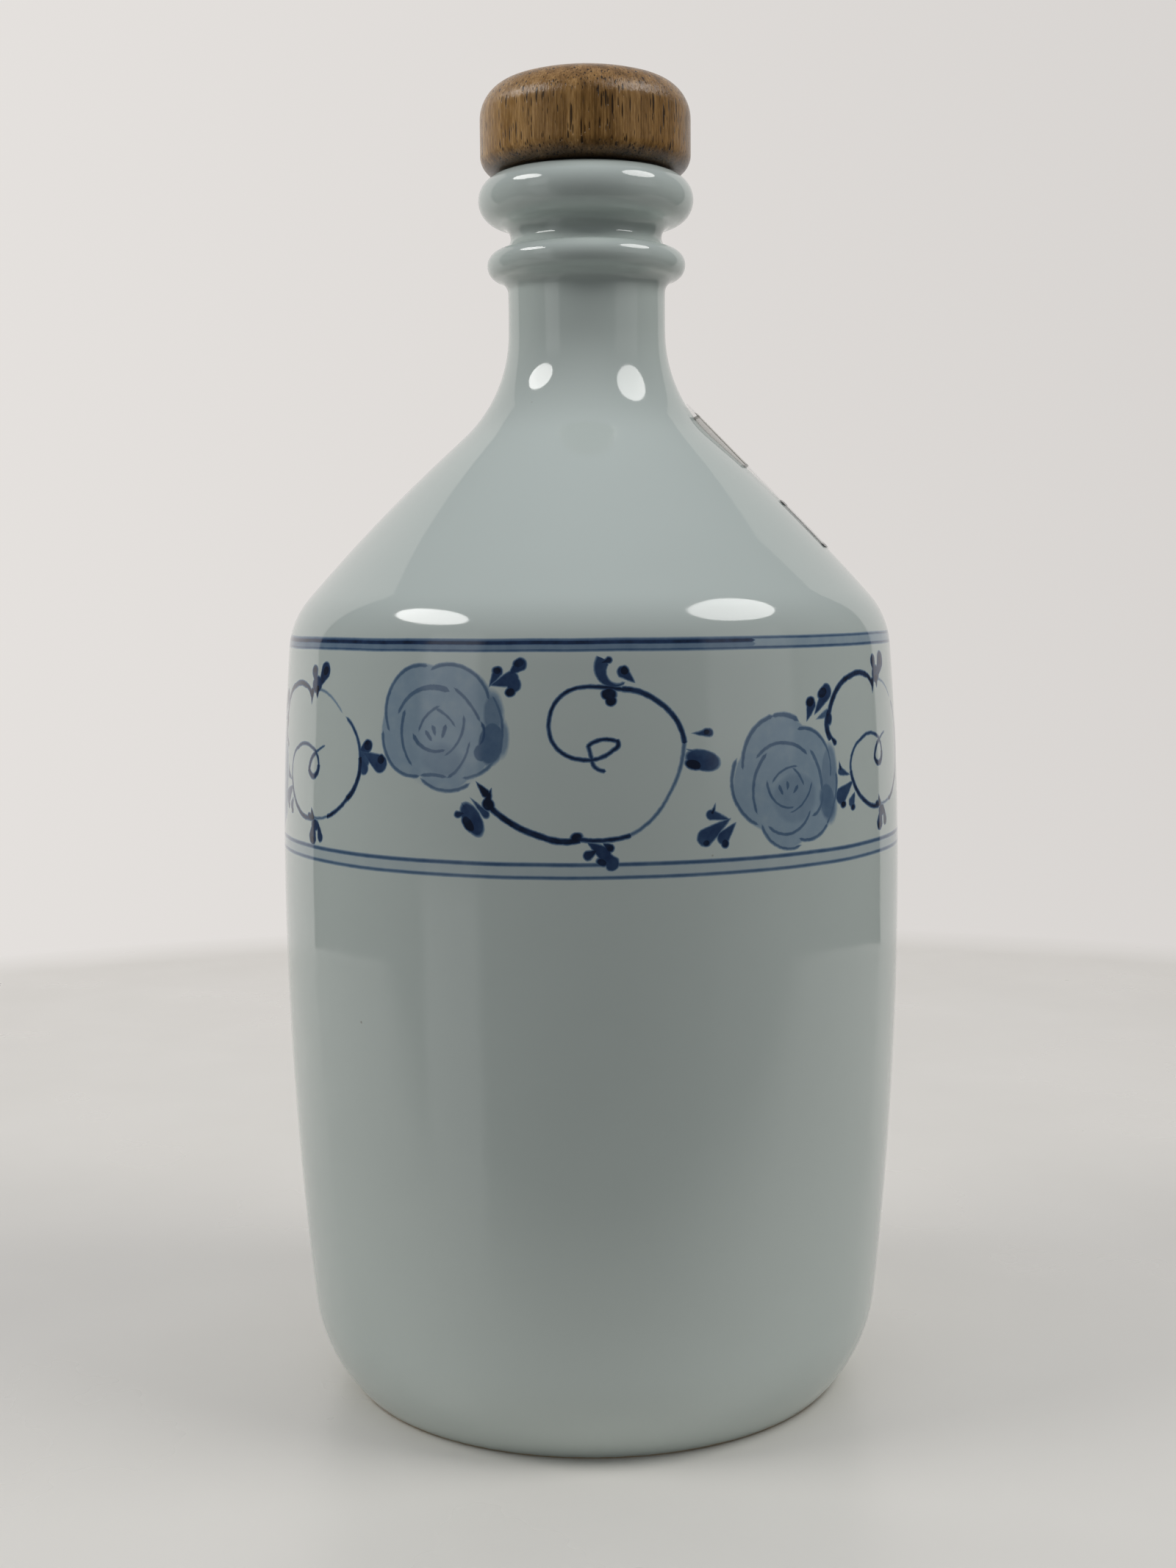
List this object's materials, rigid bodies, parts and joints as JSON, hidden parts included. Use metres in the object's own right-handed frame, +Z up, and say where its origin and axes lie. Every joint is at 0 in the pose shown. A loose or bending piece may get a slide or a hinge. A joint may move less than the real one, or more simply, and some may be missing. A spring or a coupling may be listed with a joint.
{
  "type": "sake bottle",
  "caption": "Cylindrical porcelain bottle with a sloping shoulder, a slim double-ringed neck and a lift-out wooden stopper for storing and pouring sake.",
  "frame": {"origin": "centre of the foot ring, on the surface that the bottle stands on", "axes": "+Z up along the bottle's axis, -Y towards the side the stopper and band are seen from, +X to the right"},
  "size_m": [0.1052, 0.1052, 0.2219],
  "materials": {
    "porcelain": "glossy pale celadon glaze with a cobalt blue painted band",
    "wood": "medium brown open-grained hardwood, satin lacquer",
    "plug": "milky moulded polyethylene",
    "seal": "translucent white silicone rubber",
    "film": "clear self-adhesive film with a gilt field, blank"
  },
  "bodies": {
    "bottle": {"porcelain_body": "porcelain", "shoulder_label": "film"},
    "stopper": {"wooden_cap": "wood", "stopper_plug": "plug", "upper_seal_ring": "seal", "lower_seal_ring": "seal"}
  },
  "joints": [
    {"name": "stopper_lift", "type": "slide", "parent": "bottle", "child": "stopper", "axis": [0, 0, 1], "range_m": [0, 0.06]}
  ]
}
